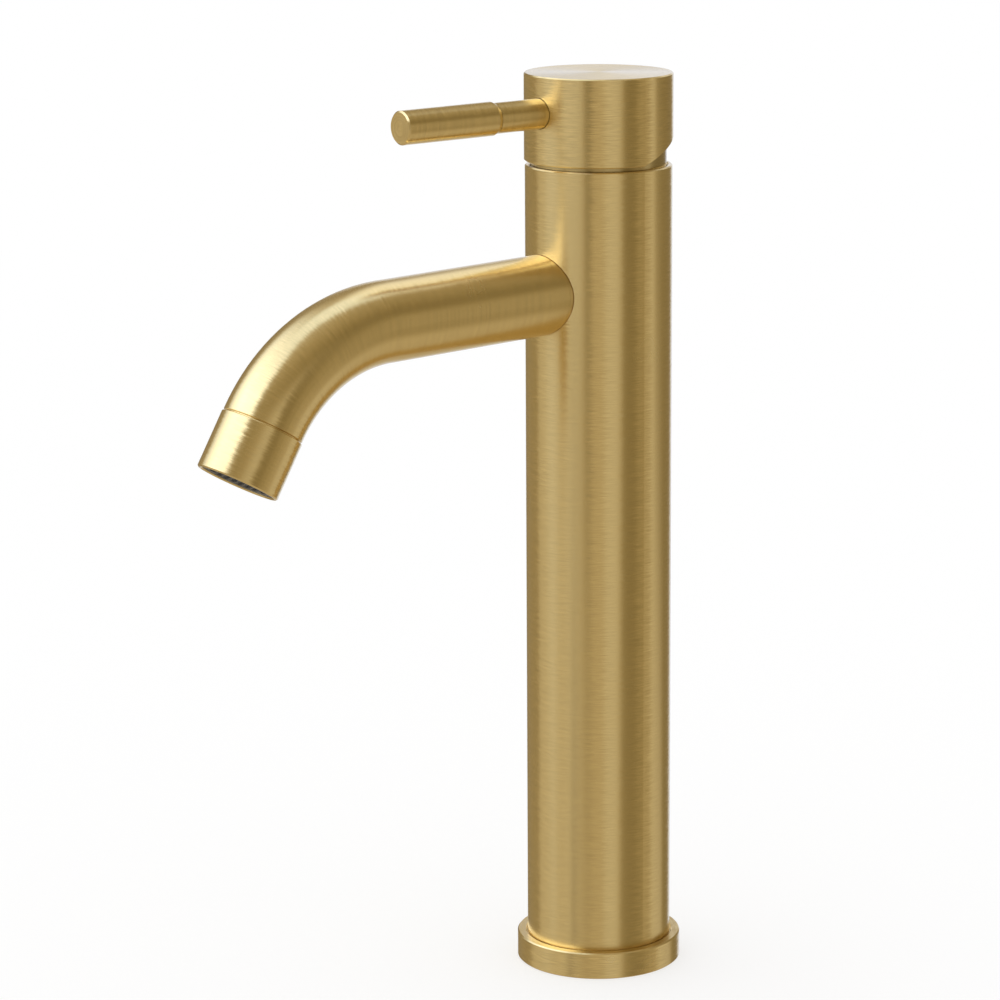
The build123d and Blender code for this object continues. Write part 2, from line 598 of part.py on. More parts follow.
def cartridge_housing():
    step = CARRIER_BOTTOM + FREE_GAP
    return turned(
        (HOUSING_BORE, HOUSING_BOTTOM),
        (CARTRIDGE_RADIUS, HOUSING_BOTTOM),
        (CARTRIDGE_RADIUS, SHOULDER_Z),
        (HOUSING_NECK, SHOULDER_Z),
        (HOUSING_NECK, HOUSING_TOP + LIMIT_RING_HEIGHT),
        (HOUSING_RIM_BORE, HOUSING_TOP + LIMIT_RING_HEIGHT),
        (HOUSING_RIM_BORE, HOUSING_TOP),
        (TURRET_RADIUS + TURNING_FIT, HOUSING_TOP),
        (TURRET_RADIUS + TURNING_FIT, ROOF_BOTTOM),
        (HOUSING_NECK_BORE, ROOF_BOTTOM),
        (HOUSING_NECK_BORE, step),
        (HOUSING_BORE, step),
    )


def hot_limit_ring():
    inner = TURRET_RADIUS + FREE_GAP
    outer = HOUSING_RIM_BORE - SOLDER_GAP
    top = HOUSING_TOP + LIMIT_RING_HEIGHT
    window_half = TURN_ANGLE + LUG_SPREAD_ANGLE + STOP_SPARE_ANGLE
    window_radius = TURRET_RADIUS + LUG_REACH + FREE_GAP
    window = ring(0, window_radius, HOUSING_TOP, top, start=90 - window_half, arc=2 * window_half)
    return ring(inner, outer, HOUSING_TOP, top) - window


def retaining_nut():
    head_bottom = VALVE_TOP + SIDE_GAP
    head = extrude(RegularPolygon(NUT_ACROSS_FLATS / 2, 6, major_radius=False), NUT_HEAD)
    nut = rod(NUT_RADIUS, SHOULDER_Z, VALVE_TOP)
    nut += rod(NUT_ACROSS_FLATS / 2, VALVE_TOP, head_bottom)
    nut += Pos(0, 0, head_bottom) * head
    return nut - rod(NUT_BORE, SHOULDER_Z, head_bottom + NUT_HEAD)


def trim_ring():
    mouth = HOUSING_NECK + TRIM_MOUTH_GAP
    return turned(
        (TRIM_RADIUS - TRIM_WALL, VALVE_TOP),
        (TRIM_RADIUS, VALVE_TOP),
        (TRIM_RADIUS, TRIM_TOP - EDGE_BEVEL),
        (TRIM_RADIUS - EDGE_BEVEL, TRIM_TOP),
        (mouth, TRIM_TOP),
        (mouth, TRIM_TOP - TRIM_LIP),
        (TRIM_RADIUS - TRIM_WALL, TRIM_TOP - TRIM_LIP),
    )


# Turret and spindle

def spindle_turret():
    turret = rod(TURRET_RADIUS, TURRET_BOTTOM, TURRET_TOP)
    turret += rod(TURRET_FLANGE_RADIUS, TURRET_BOTTOM, TURRET_BOTTOM + TURRET_FLANGE)
    rail_bottom = TURRET_BOTTOM - RAIL_HEIGHT
    for x in (-RAIL_OFFSET, RAIL_OFFSET):
        turret += block(RAIL_WIDTH, RAIL_LENGTH, rail_bottom, TURRET_BOTTOM, x)
    lug_bottom = HOUSING_TOP + FREE_GAP
    lug_top = HOUSING_TOP + LIMIT_RING_HEIGHT
    lug_radius = TURRET_RADIUS + LUG_REACH
    turret += ring(0, lug_radius, lug_bottom, lug_top, start=90 - LUG_SPREAD_ANGLE, arc=2 * LUG_SPREAD_ANGLE)
    turret -= block(SPINDLE_WIDTH + 2 * SIDE_GAP, 2 * spindle_swing(), TURRET_BOTTOM, TURRET_TOP)
    return turret - pivot_rod(PIN_RADIUS + SNUG, 2 * TURRET_RADIUS)


def spindle_swing():
    """Half length of the turret's slot that lets the spindle tilt both above and below its pin."""
    tilt = radians(LIFT_ANGLE)
    shank_reach = SPINDLE_WIDTH / 2 / cos(tilt) + TURRET_RISE * tan(tilt)
    toe_reach = DISC_TRAVEL + TOE_RADIUS
    return max(shank_reach, toe_reach) + FREE_GAP


def pivot_rod(radius, length):
    """Rod along the tilt axis, centred on the column's axis."""
    return Pos(0, 0, PIVOT_Z) * Rot(0, 90, 0) * Cylinder(radius, length)


def spindle_pin():
    return pivot_rod(PIN_RADIUS, 2 * (TURRET_RADIUS - PIN_SETBACK))


def cartridge_spindle():
    shank_bottom = PIVOT_Z - SPINDLE_SHANK
    spindle = block(SPINDLE_WIDTH, SPINDLE_WIDTH, shank_bottom, SPINDLE_TOP)
    spindle += rod(NECK_RADIUS, TOE_Z, shank_bottom)
    spindle += Pos(0, 0, TOE_Z) * Sphere(TOE_RADIUS)
    return spindle - pivot_rod(PIN_RADIUS + RUNNING_FIT, 2 * SPINDLE_WIDTH)


# Handle

def handle_cap():
    cap = turned(
        (0, CAP_CEILING),
        (CAP_BORE, CAP_CEILING),
        (CAP_BORE, CAP_BOTTOM),
        (CAP_RADIUS - EDGE_BEVEL, CAP_BOTTOM),
        (CAP_RADIUS, CAP_BOTTOM + EDGE_BEVEL),
        (CAP_RADIUS, CAP_TOP - EDGE_BEVEL),
        (CAP_RADIUS - EDGE_BEVEL, CAP_TOP),
        (0, CAP_TOP),
    )
    cap += rod(BOSS_RADIUS, BOSS_BOTTOM, CAP_CEILING)
    block_bottom = LEVER_Z - LEVER_BLOCK_DEPTH
    lever_block = block(LEVER_BLOCK_WIDTH, CAP_BORE, block_bottom, CAP_CEILING, 0, -CAP_BORE / 2)
    cap += lever_block & rod(CAP_BORE, CAP_BOTTOM, CAP_TOP)
    socket_width = SPINDLE_WIDTH + 2 * SOLDER_GAP
    cap -= block(socket_width, socket_width, CAP_BOTTOM, SPINDLE_TOP + SIDE_GAP)
    cap -= LEVER_FRAME * rod(LEVER_RADIUS + LEVER_HOLE_GAP, STEM_SHOULDER, CAP_RADIUS + CAP_WALL)
    cap -= LEVER_FRAME * rod(LEVER_THREAD_RADIUS + SOLDER_GAP, STEM_END, STEM_SHOULDER)
    cap -= LEVER_FRAME * rod(GRUB_RADIUS + SOLDER_GAP, 0, STEM_END)
    return cap - relief_wedge()


def relief_wedge():
    """Wedge cut away under the cap's rear, so that it can tip back without touching the column."""
    length = 2 * CAP_RADIUS
    rise = length * tan(radians(LIFT_ANGLE + RELIEF_MARGIN))
    corners = [(0, 0), (length, 0), (length, rise)]
    outline = Polyline(*[(0, y - RELIEF_LEAD, CAP_BOTTOM + z) for y, z in corners], close=True)
    return extrude(make_face(outline), 2 * CAP_RADIUS, dir=(1, 0, 0), both=True)


def handle_grub_screw():
    screw = rod(GRUB_RADIUS, GRUB_START, GRUB_START + GRUB_LENGTH)
    socket = extrude(RegularPolygon(GRUB_SOCKET, 6, major_radius=False), GRUB_SOCKET_DEPTH)
    return LEVER_FRAME * (screw - Pos(0, 0, GRUB_START + GRUB_LENGTH - GRUB_SOCKET_DEPTH) * socket)


def lever_stem():
    return LEVER_FRAME * turned(
        (0, STEM_END),
        (LEVER_THREAD_RADIUS, STEM_END),
        (LEVER_THREAD_RADIUS, STEM_SHOULDER),
        (LEVER_RADIUS, STEM_SHOULDER),
        (LEVER_RADIUS, GRIP_START - GRIP_SEAM),
        (GRIP_SPIGOT_RADIUS, GRIP_START - GRIP_SEAM),
        (GRIP_SPIGOT_RADIUS, GRIP_START + GRIP_SPIGOT),
        (0, GRIP_START + GRIP_SPIGOT),
    )


def lever_grip():
    bore_end = GRIP_START + GRIP_SPIGOT + SIDE_GAP
    return LEVER_FRAME * turned(
        (GRIP_SPIGOT_RADIUS + SNUG, GRIP_START),
        (GRIP_RADIUS - GRIP_BEVEL, GRIP_START),
        (GRIP_RADIUS, GRIP_START + GRIP_TAPER),
        (GRIP_RADIUS, LEVER_REACH - GRIP_BEVEL),
        (GRIP_RADIUS - GRIP_BEVEL, LEVER_REACH),
        (0, LEVER_REACH),
        (0, bore_end),
        (GRIP_SPIGOT_RADIUS + SNUG, bore_end),
    )


HOT, COLD = PORT_PLACES
PIECES = {
    "base_flange": base_flange(),
    "deck_gasket": deck_gasket(),
    "flange_o_ring": flange_o_ring(),
    "body_tube": body_tube(),
    "base_insert": base_insert(),
    "hot_riser_pipe": riser_pipe(HOT),
    "cold_riser_pipe": riser_pipe(COLD),
    "valve_body": valve_body(),
    "spout_tube": spout_tube(),
    "spout_nipple": spout_nipple(),
    "spout_o_ring": spout_o_ring(),
    "aerator_collar": aerator_collar(),
    "aerator_washer": aerator_washer(),
    "aerator_housing": aerator_housing(),
    "flow_regulator": flow_regulator(),
    "aerator_screen": aerator_screen(),
    "cartridge_base": cartridge_base(),
    "cartridge_seals": cartridge_seals(),
    "fixed_disc": fixed_disc(),
    "moving_disc": moving_disc(),
    "disc_carrier": disc_carrier(),
    "cartridge_housing": cartridge_housing(),
    "hot_limit_ring": hot_limit_ring(),
    "retaining_nut": retaining_nut(),
    "trim_ring": trim_ring(),
    "spindle_turret": spindle_turret(),
    "spindle_pin": spindle_pin(),
    "cartridge_spindle": cartridge_spindle(),
    "handle_cap": handle_cap(),
    "handle_grub_screw": handle_grub_screw(),
    "lever_stem": lever_stem(),
    "lever_grip": lever_grip(),
}

os.makedirs("parts", exist_ok=True)
for name, piece in PIECES.items():
    export_step(piece, f"parts/{name}.step")
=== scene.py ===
from math import cos, radians, sin

import bpy
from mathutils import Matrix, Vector


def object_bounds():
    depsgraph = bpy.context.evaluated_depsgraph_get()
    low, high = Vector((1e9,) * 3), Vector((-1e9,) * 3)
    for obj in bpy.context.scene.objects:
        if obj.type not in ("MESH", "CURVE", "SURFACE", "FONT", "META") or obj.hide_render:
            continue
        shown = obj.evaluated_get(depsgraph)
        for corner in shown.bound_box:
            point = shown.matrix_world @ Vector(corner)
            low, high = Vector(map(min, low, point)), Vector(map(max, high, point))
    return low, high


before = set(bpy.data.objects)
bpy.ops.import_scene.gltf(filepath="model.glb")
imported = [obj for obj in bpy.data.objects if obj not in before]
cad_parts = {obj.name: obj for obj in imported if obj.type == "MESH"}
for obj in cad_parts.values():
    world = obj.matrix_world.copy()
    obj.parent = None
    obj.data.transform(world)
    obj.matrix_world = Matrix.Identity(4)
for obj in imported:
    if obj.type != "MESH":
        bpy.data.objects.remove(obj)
cad_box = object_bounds()

# Camera at the photograph's place, in metres and degrees. Azimuth 0 looks along +Y.
CAMERA_AZIMUTH = 52.0
CAMERA_DISTANCE = 1.2175      # level distance from the column's axis
CAMERA_HEIGHT = 0.4269
CAMERA_PITCH = 12.48          # below level
CAMERA_LENS = 135.6           # in millimetres, as is the sensor's width
CAMERA_SENSOR = 36
CAMERA_SHIFT = -0.0986        # the column stands right of the middle

# Axes of the brushed pieces, as in the CAD source
UP = Vector((0, 0, 1))
LEVER_HEIGHT = 0.28748
LEVER_DROOP = 0.65
SPOUT_HEIGHT = 0.22931
SPOUT_DROOP = 2.0
SPOUT_STRAIGHT = 0.0856
SPOUT_BEND_RADIUS = 0.0546
SPOUT_BEND = 57.9

# Parts of a noise's range, from 0 to 1, that tones and tilts are spread over
NOISE_WIDE = (0.2, 0.8)
NOISE_MIDDLE = (0.25, 0.75)
NOISE_STOPS = (0.3, 0.7)

# Brushed gold
STREAK_PITCH = 0.0003         # across the brush lines
STREAK_LENGTH = 0.005         # along them
STREAK_DEPTH = 0.000002
GOLD = (0.77, 0.597, 0.27)
GOLD_ROUGHNESS = (0.25, 0.275)
GOLD_CLOUDS = 60.0            # scale of the drift in roughness
RECESS_PAINTED_SHADE = 0.68            # painted shade: darkens the ring inside the cap's rear relief, where the cap above shades it
ANISOTROPY = 0.6
ANISOTROPY_TURN = 0.25        # of a full turn from the brush lines

# Turned brass and blackened steel, inside
BRASS_DARK = (0.50, 0.33, 0.12, 1)
BRASS_LIGHT = (0.74, 0.55, 0.25, 1)
BRASS_ROUGHNESS = (0.26, 0.46)
BRASS_STAINS = 120.0          # scale of the stains
TURNING_PITCH = 0.0004        # across the turning marks
TURNING_LENGTH = 0.025        # along them
TURNING_DEPTH = 0.00001
STEEL_DARK = (0.16, 0.16, 0.17, 1)
STEEL_LIGHT = (0.42, 0.42, 0.43, 1)
STEEL_STOPS = (0.35, 0.75)
STEEL_ROUGHNESS = (0.30, 0.50)
STEEL_WEAR = 900.0            # scale of the worn spots
STEEL_WEAR_DEPTH = 0.000004
MOULDED_DRIFT = 90.0          # scale of the drift in tone of plastic, rubber and ceramic

# Walls of the studio, with angles about the column from the camera's side, positive to the right
WALL_EDGE = 4                 # half width of each soft edge between panels
WALL_HEIGHTS = (-0.31, -0.165)  # sines of the elevation
WALL_PANELS = [               # left edge at the lower and upper height, brightness
    (-180, -180, 0.90),
    (-170, -170, 0.30),
    (-150, -150, 0.36),
    (-111, -111, 0.60),
    (-80, -92, 0.72),
    (-78, -63, 0.59),
    (-40, -58, 0.69),
    (-45, -22, 0.16),
    (-38, -11, 0.55),
    (8, 10, 0.66),
    (33, 38, 0.27),
    (72, 61, 0.42),
    (94, 84, 0.65),
    (127, 98, 0.28),
    (155, 156, 0.90),
]

# Ceiling and ground
CEILING_RISE = (0.55, 0.95, 0.27, 0.47)  # from one sine of the elevation to another, the tones there
CEILING_GAINS = [             # towards, by how much
    (-35, 0.12),
    (185, 0.09),
]
CEILING_BAND = (0.20, 0.45)   # sines of the elevation where the walls fade into it
GROUND_TONE = 0.55
GROUND_BAND = (-0.39, -0.65)

# Panel overhead, towards the rear and left
OVERHEAD_SIDE = -150
OVERHEAD_REACH = (-0.27, 0.0)  # its soft edge at the zenith
OVERHEAD_LOW = (0.82, 0.94)   # its soft lower edge, as sines of the elevation
OVERHEAD_BRIGHTNESS = 1.1

# Softbox on the left, placed by angles about the column and elevations
SOFTBOX_SIDE = (-110, 27)     # direction that its front edge is square to
SOFTBOX_REACH = (0.24, 0.52)  # its soft front edge
SOFTBOX_FOOT = (128, 64)      # direction that its lower edge is square to: it rises towards the front
SOFTBOX_LOW = (-0.04, 0.07)   # its soft lower edge
SOFTBOX_BRIGHT = (-70, 40)    # its brightest end
SOFTBOX_FADE = (0.36, 0.95)   # from its dark end to its bright end
SOFTBOX_STRENGTH = 2.3
SOFTBOX_TOP = (0.6, 0.9, 1.0, 0.55)  # from one sine of the elevation to another, its dimming there
GLOW_LOW = (0.0, 0.08)        # its lower edge where pieces mirror each other, as sines of the elevation
GLOW_STRENGTH = 1.5           # its least strength there

# Light behind the spout
STRIP_PLACE = (160, 46)       # angle about the column and elevation
STRIP_DISTANCE = 1.0
STRIP_SIZE = (0.95, 1.2)
STRIP_BRIGHTNESS = 0.60       # at its middle
STRIP_EDGE = 0.3              # share of its size that fades at each side
STRIP_TINT = (1.0, 1.13, 1.48)
STRIP_WATTS = 4               # power that gives a square metre of it a brightness of 1

# Colour of the studio by its brightness, warm where dim
PANEL_TINTS = [
    (0.30, (1.0, 0.815, 0.49)),
    (0.55, (1.0, 0.876, 0.69)),
    (0.65, (1.0, 0.94, 0.85)),
    (0.95, (1.0, 1.13, 1.48)),
    (1.90, (1.0, 1.08, 1.40)),
]
TINT_TOP = 2.0                # brightness at the ramp's end, since a ramp holds only 0 to 1

ROOM_LIGHT = 0.92             # what matt surfaces get from all around
FLOOR_TONE = 0.45
FLOOR_SIZE = 3.0


def forward(angle):
    """Direction towards the front, the given angle below level."""
    return Vector((0, -cos(radians(angle)), -sin(radians(angle))))


def level(azimuth):
    """Level direction at an angle about the column from the camera's side."""
    turn = radians(CAMERA_AZIMUTH + azimuth)
    return Vector((sin(turn), -cos(turn), 0))


def raised(azimuth, elevation):
    """Direction at an angle about the column and an elevation."""
    return cos(radians(elevation)) * level(azimuth) + sin(radians(elevation)) * UP


def bend_centre():
    """Middle of the circle that the spout's bend follows."""
    start = SPOUT_HEIGHT * UP + SPOUT_STRAIGHT * forward(SPOUT_DROOP)
    return start + SPOUT_BEND_RADIUS * forward(SPOUT_DROOP + 90)


class Graph:
    """Adds nodes to a node tree and joins them."""

    def __init__(self, tree):
        self.tree = tree

    def add(self, kind, **settings):
        node = self.tree.nodes.new(kind)
        for name, value in settings.items():
            setattr(node, name, value)
        return node

    def feed(self, socket, value):
        if isinstance(value, bpy.types.NodeSocket):
            self.tree.links.new(value, socket)
        else:
            socket.default_value = value

    def feed_all(self, sockets, values):
        for socket, value in zip(sockets, values):
            self.feed(socket, value)

    def math(self, operation, *values):
        node = self.add("ShaderNodeMath", operation=operation)
        self.feed_all(node.inputs, values)
        return node.outputs[0]

    def vector(self, operation, *values):
        node = self.add("ShaderNodeVectorMath", operation=operation)
        self.feed_all(node.inputs, values)
        scalar = operation in ("DOT_PRODUCT", "LENGTH")
        return node.outputs["Value" if scalar else "Vector"]

    def scaled(self, vector, factor):
        node = self.add("ShaderNodeVectorMath", operation="SCALE")
        self.feed(node.inputs[0], vector)
        self.feed(node.inputs["Scale"], factor)
        return node.outputs["Vector"]

    def combine(self, x, y, z):
        node = self.add("ShaderNodeCombineXYZ")
        self.feed_all(node.inputs, (x, y, z))
        return node.outputs[0]

    def split(self, vector):
        node = self.add("ShaderNodeSeparateXYZ")
        self.feed(node.inputs[0], vector)
        return node.outputs

    def stretch(self, value, low, high, new_low, new_high, curve="LINEAR"):
        node = self.add("ShaderNodeMapRange", interpolation_type=curve)
        self.feed_all(node.inputs, (value, low, high, new_low, new_high))
        return node.outputs[0]

    def fade(self, value, low, high, top=1.0):
        """Soft edge: from 0 at low to top at high."""
        return self.stretch(value, low, high, 0.0, top, "SMOOTHSTEP")

    def noise(self, vector, scale=1.0, detail=2.0, roughness=0.5):
        node = self.add("ShaderNodeTexNoise")
        self.feed(node.inputs["Vector"], vector)
        node.inputs["Scale"].default_value = scale
        node.inputs["Detail"].default_value = detail
        node.inputs["Roughness"].default_value = roughness
        return node.outputs[0]

    def lines(self, station, pitch, length, detail, roughness=0.5):
        """Noise drawn out into lines, which lie the pitch apart along the station."""
        fast = self.combine(0.0, 0.0, self.math("DIVIDE", station, pitch))
        slow = self.scaled(self.place(), 1 / length)
        return self.noise(self.vector("ADD", fast, slow), detail=detail, roughness=roughness)

    def ramp(self, factor, positions, colours):
        node = self.add("ShaderNodeValToRGB")
        elements = node.color_ramp.elements
        while len(elements) < len(positions):
            elements.new(1.0)
        for element, position, colour in zip(elements, positions, colours):
            element.position = position
            element.color = colour
        self.feed(node.inputs[0], factor)
        return node.outputs[0]

    def bump(self, height, distance, normal=None):
        node = self.add("ShaderNodeBump")
        node.inputs["Distance"].default_value = distance
        self.feed(node.inputs["Height"], height)
        if normal is not None:
            self.feed(node.inputs["Normal"], normal)
        return node.outputs[0]

    def blend(self, share, first, second):
        node = self.add("ShaderNodeMix", data_type="FLOAT")
        sockets = (node.inputs[0], node.inputs[2], node.inputs[3])
        self.feed_all(sockets, (share, first, second))
        return node.outputs[0]

    def place(self):
        return self.add("ShaderNodeTexCoord").outputs["Object"]


def new_material(name):
    """Material with a plain Principled shader, its graph and that shader."""
    material = bpy.data.materials.new(name)
    material.use_nodes = True
    graph = Graph(material.node_tree)
    return material, graph, material.node_tree.nodes["Principled BSDF"]


# Brushed gold: the lines run round each piece's own axis

def straight_brush(axis, origin):
    """Field of a straight turned piece: distance along it, and the direction round it."""
    def field(graph):
        from_axis = graph.vector("SUBTRACT", graph.place(), origin)
        around = graph.vector("CROSS_PRODUCT", axis, from_axis)
        along = graph.vector("DOT_PRODUCT", from_axis, axis)
        return graph.math("ADD", along, graph.vector("LENGTH", around)), around
    return field


def spout_brush(graph):
    """Field of the bent spout: distance along its line, and the direction round it."""
    centre = bend_centre()
    place = graph.place()
    _, y, z = graph.split(graph.vector("SUBTRACT", place, centre))
    free_angle = graph.math("ARCTAN2", graph.math("MULTIPLY", y, -1.0), z)
    low, high = radians(SPOUT_DROOP), radians(SPOUT_DROOP + SPOUT_BEND)
    angle = graph.stretch(free_angle, low, high, low, high)
    fall, run = graph.math("SINE", angle), graph.math("COSINE", angle)
    back_run = graph.math("MULTIPLY", run, -1.0)
    down_fall = graph.math("MULTIPLY", fall, -1.0)
    axis = graph.combine(0.0, back_run, down_fall)
    outward = graph.scaled(graph.combine(0.0, down_fall, run), SPOUT_BEND_RADIUS)
    from_axis = graph.vector("SUBTRACT", place, graph.vector("ADD", outward, centre))
    past_angle = graph.vector("DOT_PRODUCT", from_axis, axis)
    along = graph.math("MULTIPLY_ADD", angle, SPOUT_BEND_RADIUS, past_angle)
    return along, graph.vector("CROSS_PRODUCT", axis, from_axis)


def brushed_gold(name, field, jitter, contrast, shade=1.0):
    """Gold with fine brush lines, which differ in sideways tilt by jitter and in tone by contrast;
    shade darkens the whole colour as painted shade.
    """
    material, graph, shader = new_material(name)
    station, around = field(graph)
    streaks = graph.lines(station, STREAK_PITCH, STREAK_LENGTH, detail=3.0, roughness=0.6)
    clouds = graph.noise(graph.place(), scale=GOLD_CLOUDS, detail=3.0)

    turn = graph.add("ShaderNodeVectorTransform", vector_type="VECTOR")
    turn.convert_from, turn.convert_to = "OBJECT", "WORLD"
    graph.feed(turn.inputs[0], graph.vector("NORMALIZE", around))
    tangent = turn.outputs[0]
    tilt = graph.stretch(streaks, *NOISE_WIDE, -jitter / 2, jitter / 2)
    surface = graph.add("ShaderNodeNewGeometry").outputs["Normal"]
    tilted = graph.vector("ADD", surface, graph.scaled(tangent, tilt))
    normal = graph.vector("NORMALIZE", tilted)

    gains = (1 - contrast, 1 + contrast)
    tones = [[part * shade * gain for part in GOLD] + [1] for gain in gains]
    roughness = graph.stretch(clouds, *NOISE_MIDDLE, *GOLD_ROUGHNESS)
    graph.feed(shader.inputs["Base Color"], graph.ramp(streaks, NOISE_STOPS, tones))
    graph.feed(shader.inputs["Roughness"], roughness)
    graph.feed(shader.inputs["Normal"], graph.bump(streaks, STREAK_DEPTH, normal))
    graph.feed(shader.inputs["Tangent"], tangent)
    shader.inputs["Metallic"].default_value = 1.0
    shader.inputs["Anisotropic"].default_value = ANISOTROPY
    shader.inputs["Anisotropic Rotation"].default_value = ANISOTROPY_TURN
    return material


# Materials of the pieces inside

def turned_brass(name):
    """Stained brass with turning marks round the column's axis."""
    material, graph, shader = new_material(name)
    station, _ = straight_brush(UP, Vector())(graph)
    rings = graph.lines(station, TURNING_PITCH, TURNING_LENGTH, detail=2.0)
    stain = graph.noise(graph.place(), scale=BRASS_STAINS, detail=4.0, roughness=0.6)
    colour = graph.ramp(stain, NOISE_STOPS, (BRASS_DARK, BRASS_LIGHT))
    graph.feed(shader.inputs["Base Color"], colour)
    graph.feed(shader.inputs["Roughness"], graph.stretch(stain, *NOISE_WIDE, *BRASS_ROUGHNESS))
    graph.feed(shader.inputs["Normal"], graph.bump(rings, TURNING_DEPTH))
    shader.inputs["Metallic"].default_value = 1.0
    return material


def moulded(name, dark, light, roughness, grain_size, grain_depth):
    """Plastic, rubber or ceramic: a fine grain with a slow drift of tone."""
    material, graph, shader = new_material(name)
    grain = graph.noise(graph.place(), scale=1 / grain_size, detail=2.0)
    drift = graph.noise(graph.place(), scale=MOULDED_DRIFT, detail=3.0)
    colour = graph.ramp(drift, NOISE_STOPS, ((*dark, 1), (*light, 1)))
    graph.feed(shader.inputs["Base Color"], colour)
    graph.feed(shader.inputs["Roughness"], graph.stretch(drift, *NOISE_MIDDLE, *roughness))
    graph.feed(shader.inputs["Normal"], graph.bump(grain, grain_depth))
    return material


def blackened_steel(name):
    """Dark steel, worn in fine spots."""
    material, graph, shader = new_material(name)
    wear = graph.noise(graph.place(), scale=STEEL_WEAR, detail=4.0, roughness=0.65)
    colour = graph.ramp(wear, STEEL_STOPS, (STEEL_DARK, STEEL_LIGHT))
    graph.feed(shader.inputs["Base Color"], colour)
    graph.feed(shader.inputs["Roughness"], graph.stretch(wear, *NOISE_WIDE, *STEEL_ROUGHNESS))
    graph.feed(shader.inputs["Normal"], graph.bump(wear, STEEL_WEAR_DEPTH))
    shader.inputs["Metallic"].default_value = 1.0
    return material


def gold_by_node():
    """Material of each brushed node, with the lines round that node's axis."""
    upright = straight_brush(UP, Vector())
    lever_axis = straight_brush(forward(LEVER_DROOP), LEVER_HEIGHT * UP)
    end_angle = SPOUT_DROOP + SPOUT_BEND
    bend_end = bend_centre() - SPOUT_BEND_RADIUS * forward(end_angle + 90)
    outlet_axis = straight_brush(forward(end_angle), bend_end)
    column = brushed_gold("gold_column", upright, jitter=0.08, contrast=0.065)
    rings = brushed_gold("gold_rings", upright, jitter=0.08, contrast=0.115)
    # the ring's darker gold is painted shade from the cap above it, not a different finish
    ring_painted_shade = brushed_gold("gold_ring_painted_shade", upright, jitter=0.08, contrast=0.065, shade=RECESS_PAINTED_SHADE)
    lever = brushed_gold("gold_lever", lever_axis, jitter=0.08, contrast=0.12)
    outlet = brushed_gold("gold_outlet", outlet_axis, jitter=0.10, contrast=0.07)
    spout = brushed_gold("gold_spout", spout_brush, jitter=0.08, contrast=0.065)
    return {
        "base_flange": rings,
        "body_tube": column,
        "trim_ring": ring_painted_shade,
        "handle_cap": rings,
        "lever_stem": lever,
        "lever_grip": lever,
        "aerator_collar": outlet,
        "spout_tube": spout,
    }


def finish_by_slot():
    """Material of the other nodes, by their slot in the record."""
    return {
        "raw_brass": turned_brass("brass_turned"),
        "seal_rubber": moulded(
            "rubber", (0.012, 0.012, 0.012), (0.03, 0.03, 0.03),
            roughness=(0.62, 0.8), grain_size=0.0003, grain_depth=0.00002,
        ),
        "white_plastic": moulded(
            "plastic_white", (0.70, 0.69, 0.65), (0.80, 0.79, 0.76),
            roughness=(0.38, 0.5), grain_size=0.0004, grain_depth=0.00001,
        ),
        "grey_plastic": moulded(
            "plastic_grey", (0.06, 0.06, 0.062), (0.10, 0.10, 0.105),
            roughness=(0.36, 0.5), grain_size=0.0004, grain_depth=0.00001,
        ),
        "red_plastic": moulded(
            "plastic_red", (0.42, 0.02, 0.015), (0.56, 0.035, 0.025),
            roughness=(0.36, 0.5), grain_size=0.0004, grain_depth=0.00001,
        ),
        "disc_ceramic": moulded(
            "ceramic", (0.78, 0.76, 0.70), (0.86, 0.84, 0.79),
            roughness=(0.12, 0.22), grain_size=0.0002, grain_depth=0.000002,
        ),
        "screw_steel": blackened_steel("steel_blackened"),
    }


def dress_pieces():
    """Gives each CAD node its material."""
    gold = gold_by_node()
    finishes = finish_by_slot()
    for name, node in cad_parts.items():
        slot = node.material_slots[0]
        if name in gold:
            slot.material = gold[name]
        else:
            slot.material = finishes[slot.material.name]


# Studio

def wall_brightness(graph, direction):
    """Brightness of the studio's walls by the angle about the column."""
    front = graph.vector("DOT_PRODUCT", direction, level(0))
    right = graph.vector("DOT_PRODUCT", direction, level(90))
    angle = graph.math("ARCTAN2", right, front)
    height = graph.split(direction)[2]
    edge = radians(WALL_EDGE)
    tone = before = WALL_PANELS[0][2]
    for lower, upper, brightness in WALL_PANELS[1:]:
        start = graph.stretch(height, *WALL_HEIGHTS, radians(lower), radians(upper))
        past = graph.math("SUBTRACT", angle, start)
        tone = graph.math("ADD", graph.fade(past, -edge, edge, brightness - before), tone)
        before = brightness
    return tone


def room_brightness(graph, direction):
    """Walls that fade into a dim ceiling above and a plain ground below."""
    height = graph.split(direction)[2]
    ceiling = graph.stretch(height, *CEILING_RISE)
    for angle, gain in CEILING_GAINS:
        towards = graph.vector("DOT_PRODUCT", direction, level(angle))
        share = graph.math("MAXIMUM", towards, 0.0)
        ceiling = graph.math("MULTIPLY_ADD", share, gain, ceiling)
    above = graph.fade(height, *CEILING_BAND)
    below = graph.fade(height, *GROUND_BAND)
    upper = graph.blend(above, wall_brightness(graph, direction), ceiling)
    return graph.blend(below, upper, GROUND_TONE)


def overhead_brightness(graph, direction):
    """Panel above the column, towards the rear and left."""
    side = graph.vector("DOT_PRODUCT", direction, level(OVERHEAD_SIDE))
    height = graph.split(direction)[2]
    inside = graph.fade(side, *OVERHEAD_REACH)
    above = graph.fade(height, *OVERHEAD_LOW, OVERHEAD_BRIGHTNESS)
    return graph.math("MULTIPLY", inside, above)


